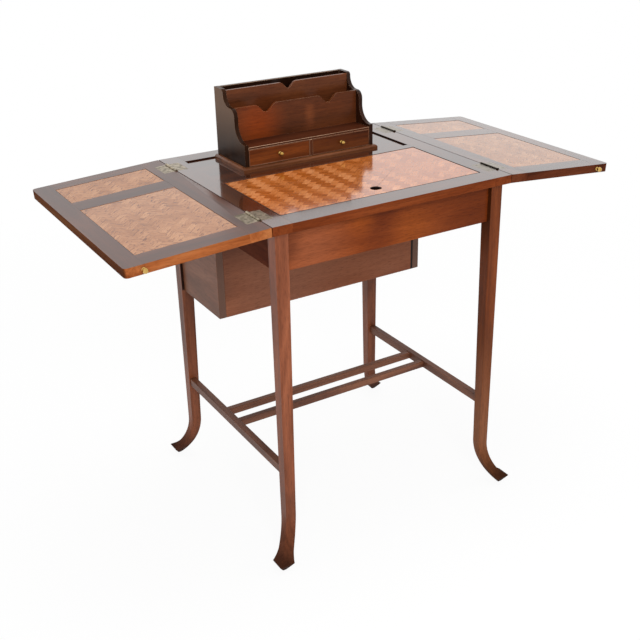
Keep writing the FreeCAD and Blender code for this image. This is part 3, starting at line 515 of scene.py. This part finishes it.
def surface(name, points, material):
    """A mesh over a grid of points, closed round the second way: point (i, j) is joined to
    (i + 1, j) and (i, j + 1)."""
    rows, columns = points.shape[:2]
    index = np.arange(rows * columns).reshape(rows, columns)
    index = np.concatenate([index, index[:, :1]], 1)
    faces = np.stack([index[:-1, :-1], index[:-1, 1:], index[1:, 1:], index[1:, :-1]], -1)
    mesh = bpy.data.meshes.new(name)
    mesh.from_pydata(points.reshape(-1, 3).tolist(), [], faces.reshape(-1, 4).tolist())
    mesh.polygons.foreach_set("use_smooth", [True] * len(mesh.polygons))
    mesh.materials.append(material)
    obj = bpy.data.objects.new(name, mesh)
    bpy.context.scene.collection.objects.link(obj)
    return obj


def turned_knob(name, node, face, ball, material):
    """A lathe piece where a CAD knob is, whose axis runs forwards from a face. The profile is a
    list of distances along the axis, each with its radius: shank end, rose, waisted neck, then
    the ball, where the distance is the centre plus the ball's radius times a cosine and the
    radius is the ball's times the sine. Each radius is carried round the axis. Both ends come
    almost to the axis, and the pinhole left there is too small to see."""
    neck_length, rose, shank, shank_end, pinhole = 0.0035, ball * 0.78, 0.0015, -0.002, 0.00002
    rose_back, rose_middle, rose_front, rounding = 0.0003, 0.0007, 0.0011, 0.0002
    start = math.asin(0.5)
    turn = np.linspace(math.pi - start, 0.01, 24)
    centre = neck_length + ball * math.cos(start)
    globe = np.stack([centre + ball * np.cos(turn), ball * np.sin(turn)], 1)
    foot = [(shank_end, pinhole), (shank_end, shank), (rose_back, shank), (rose_back, rose),
            (rose_middle, rose + rounding), (rose_front, rose), (0.0014, ball * 0.42),
            (0.0022, ball * 0.36)]
    along, radius = np.concatenate([foot, globe]).T
    angle = np.linspace(0, 2 * math.pi, 48, endpoint=False)
    ring = np.stack([np.cos(angle), np.zeros_like(angle), np.sin(angle)], 1)
    low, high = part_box(node)
    base = np.array(((low[0] + high[0]) / 2, face, (low[2] + high[2]) / 2))
    forwards = along[:, None, None] * np.array((0, -1, 0))
    return surface(name, base + forwards + radius[:, None, None] * ring, material)


leaf_ball = 0.0053
leaf_edge = -0.257
knob_gap = 0.0003
knob_brass = brass("polished_turned_brass_knob", "#b0853c", "#dcb96f", 0.3, 0.7, 0.12)[0]
for side in ("left", "right"):
    knob = turned_knob(f"turned_leaf_knob_{side}", f"leaf_knob_{side}", leaf_edge - knob_gap,
                       leaf_ball, knob_brass)
    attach(knob, f"{side}_leaf_knob")
    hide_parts(f"leaf_knob_{side}")


# Letter rack: shaped sides, two notched dividers and a back board, glued on a moulded base over
# a platform that fills the opening. Mahogany stained very dark; hands have worn the stain off
# the arrises, whose pale colour is also a painted highlight, and they show as thin pale lines.

rack_tones = ("#1f0f09", "#2c160c", "#3d2011")
divider_tones = ("#4a2613", "#5c3019", "#6e3c20")
base_tones = ("#573019", "#6e4025", "#845235")
platform_tones = ("#37190c", "#472312", "#5a2f19")
left_side_tones = ("#22120a", "#2d190d", "#392213")
# The rack's back board is darker still: painted shade deep inside the rack.
shaded_rack_back_tones = ("#170b06", "#211008", "#2d170c")
shelf_tones = ("#34170c", "#432012", "#522a18")
# Painted light on the front divider: an orange glow at the left, a paler band in the middle and
# shade towards the right.
painted_glow_and_shade_on_divider = (
    ((-0.1, 0.15, 0.83), 0.085, "#8f3a0a", 0.85), ((0.03, 0.13, 0.845), 0.02, "#8a4c2a", 0.5),
    ((0.031, 0.13, 0.828), 0.02, "#8a4c2a", 0.5), ((0.032, 0.13, 0.812), 0.018, "#7c4226", 0.4),
    ((-0.02, 0.15, 0.8), 0.05, "#3b1a0c", 0.5), ((0.1, 0.15, 0.82), 0.1, "#6a3618", 0.5))
back_clouds = (((-0.06, 0.19, 0.86), 0.06, "#54260f", 0.7),
               ((0.06, 0.19, 0.87), 0.05, "#4a2213", 0.6))
# Painted sheen: the rack's left side turns grey brown towards its top.
painted_sheen_on_rack_side = ((-1, 0, 0), 0.775, 0.09, "#765b47", 0.95)
rack_arris, platform_arris = 0.0009, 0.0014
# Pale arrises on the rack: wear and painted highlight together.
worn_and_highlit_edge = mahogany("worn_highlit_mahogany_arris", "x", ("#8f7058", "#ab8a70", "#c4a58a"), 80,
                     roughness=0.5)
for start, (piece, grain, tones, finish) in enumerate((
        ("rack_side_left", "z", left_side_tones, {"ior": 1.15}),
        ("rack_side_right", "z", rack_tones, {}),
        ("rack_back_board", "x", shaded_rack_back_tones, {}),
        ("rack_divider_back", "x", divider_tones, {"patches": back_clouds}),
        ("rack_divider_front", "x", divider_tones, {"patches": painted_glow_and_shade_on_divider}),
        ("rack_shelf", "x", shelf_tones, {"ior": 1.15}),
        ("rack_partition", "z", divider_tones, {}),
        ("rack_case_bottom", "x", rack_tones, {}),
        ("rack_base_moulding", "x", base_tones, {}))):
    wood = mahogany("polished_dark_mahogany_" + piece, grain, tones, 90 + 2.3 * start,
                    roughness=0.28, stripe=0.5, **finish)
    if piece == "rack_side_left":
        tint_faces(wood, *painted_sheen_on_rack_side)
    dress(piece, wood, rack_arris, worn_and_highlit_edge)
dress("rack_platform", mahogany("glossy_dark_mahogany_rack_platform", "x", platform_tones, 120,
                                rack_tones, **top_gloss), platform_arris, shade_painted_arris)
dress("rack_cheeks", mahogany("planed_bare_mahogany_rack_cheeks", "z", bare_tones, 123,
                              **bare_wood), rack_arris)


# Drawers: two small fronts of mahogany, each framed by a cock bead, a thin round strip that
# stands 1 mm proud, and dovetailed oak boxes. The brass ball knobs are screwed in from inside.

def cock_bead(name, low, high, radius, proud, sunk, material):
    """A half-round strip mitred round a drawer front. The path is the front's four corners, and
    the section a half circle: its place across the strip is added towards the middle both ways,
    which keeps the mitres, and its height is taken forwards from the front's face, with the
    strip's back sunk a little into the wood. Its faces are left flat, as a scraped bead's are."""
    turn = np.linspace(0, math.pi, 9)
    across = np.concatenate([radius - radius * np.cos(turn), [2 * radius, 0]])
    forward = np.concatenate([proud * np.sin(turn), [-sunk, -sunk]])
    corners = np.array([(low[0], low[2]), (high[0], low[2]), (high[0], high[2]), (low[0], high[2])])
    inward = np.array([(1, 1), (-1, 1), (-1, -1), (1, -1)])
    flat = corners[None] + across[:, None, None] * inward[None]
    depth = np.repeat((low[1] - forward)[:, None], 4, 1)
    points = np.stack([flat[..., 0], depth, flat[..., 1]], -1)
    bead = surface(name, np.concatenate([points, points[:1]]), material)
    bead.data.polygons.foreach_set("use_smooth", [False] * len(bead.data.polygons))
    return bead


drawer_tones = {"left": ("#471f0b", "#66300f", "#86441b"),
                "right": ("#3c1a0a", "#55280f", "#6f3a19")}
oak_tones = ("#7b5a38", "#957049", "#ab865c")
front_arris, box_arris = 0.0002, 0.0004
bead_radius, bead_proud, bead_sunk = 0.0008, 0.001, 0.0004
drawer_ball = 0.0048
drawer_knob_face = 0.076
bead_wood = mahogany("worn_mahogany_cock_bead", "x", ("#5c3824", "#744a34", "#8d6149"), 130,
                     roughness=0.45)
for start, side in enumerate(("left", "right")):
    front, box = f"drawer_front_{side}", f"drawer_box_{side}"
    dress(front, mahogany("polished_mahogany_" + front, "x", drawer_tones[side], 134 + start,
                          roughness=0.32), front_arris)
    dress(box, mahogany("planed_oak_" + box, "x", oak_tones, 138 + start, ior=1.3,
                        roughness=0.7), box_arris)
    bead = cock_bead(f"cock_bead_{side}", *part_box(front), bead_radius, bead_proud, bead_sunk,
                     bead_wood)
    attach(bead, f"{side}_drawer")
    knob = turned_knob(f"turned_drawer_knob_{side}", f"drawer_knob_{side}", drawer_knob_face,
                       drawer_ball, knob_brass)
    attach(knob, f"{side}_drawer")
    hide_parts(f"drawer_knob_{side}")


# Studio: a white paper floor that keeps a faint shadow near the table, a white surround, a soft
# key lamp in front on the left, one overhead and a weak one on the right. The camera stands
# where the photograph was taken from, as fitted to the corners of the table.

def seen_by_eye(tree):
    """One for what the camera sees straight, in a mirror or through glass, else nothing."""
    rays = add(tree, "LightPath").node.outputs
    seen = add(tree, "Math", rays["Is Camera Ray"], rays["Is Glossy Ray"], operation="MAXIMUM")
    return add(tree, "Math", seen, rays["Is Transmission Ray"], operation="MAXIMUM")


scene = bpy.context.scene
scene.view_settings.view_transform = "Standard"

far = 9.0
paper_white = (0.95, 0.95, 0.95, 1)
shadow_near, shadow_far, near_white = 0.9, 2.2, 0.92
mesh = bpy.data.meshes.new("studio_floor")
mesh.from_pydata([(-far, -far, 0), (far, -far, 0), (far, far, 0), (-far, far, 0)], [],
                 [(0, 1, 2, 3)])
floor = bpy.data.objects.new("studio_floor", mesh)
scene.collection.objects.link(floor)
paper = bpy.data.materials.new("white_paper_floor")
paper.use_nodes = True
tree = paper.node_tree
tree.nodes.clear()
away = add(tree, "VectorMath", add(tree, "TexCoord", out="Object"), operation="LENGTH",
           out="Value")
share = add(tree, "MapRange", away, shadow_near, shadow_far, near_white, 1.0)
seen = add(tree, "Math", seen_by_eye(tree), share, operation="MULTIPLY")
matt = add(tree, "BsdfDiffuse", paper_white)
white = add(tree, "Emission", (1, 1, 1, 1), 1.0)
add(tree, "OutputMaterial", add(tree, "MixShader", seen, matt, white))
floor.data.materials.append(paper)

world = bpy.data.worlds.new("white_studio")
scene.world = world
world.use_nodes = True
tree = world.node_tree
tree.nodes.clear()
light_on_table, seen_white = 0.5, 1.0
soft = add(tree, "Background", (1, 1, 1, 1), light_on_table)
bright = add(tree, "Background", (1, 1, 1, 1), seen_white)
add(tree, "OutputWorld", add(tree, "MixShader", seen_by_eye(tree), soft, bright))

for name, place, target, size, power in (
        ("soft_key_front_left", (-1.3, -2.9, 2.2), (0, 0, 0.5), 1.6, 72),
        ("soft_lamp_overhead", (0.2, 0.2, 3.2), (0, 0, 0.7), 2.0, 38),
        ("soft_lamp_right", (2.6, -0.6, 1.6), (0, 0, 0.5), 1.4, 14)):
    data = bpy.data.lights.new(name, "AREA")
    data.shape = "SQUARE"
    data.size = size
    data.energy = power
    lamp = bpy.data.objects.new(name, data)
    scene.collection.objects.link(lamp)
    turned = (Vector(target) - Vector(place)).to_track_quat("-Z", "Y").to_matrix().to_4x4()
    lamp.matrix_world = Matrix.Translation(place) @ turned
    lamp.visible_glossy = False
    lamp.visible_camera = False

right = (0.8459817521, -0.5330717963, -0.0122202755)
up = (0.234113955, 0.3507512716, 0.9067327068)
forward = (0.4790673556, 0.769940261, -0.4215287218)
eye = (-1.0514327, -1.7145834, 1.3542714)
camera_data = bpy.data.cameras.new("photo_camera")
camera_data.sensor_width = 36.0
camera_data.lens = 55.3468
camera_data.shift_x = -0.02797
camera_data.shift_y = -0.01738
camera = bpy.data.objects.new("photo_camera", camera_data)
scene.collection.objects.link(camera)
camera.matrix_world = Matrix([(right[i], up[i], -forward[i], eye[i]) for i in range(3)]
                             + [(0, 0, 0, 1)])
scene.camera = camera
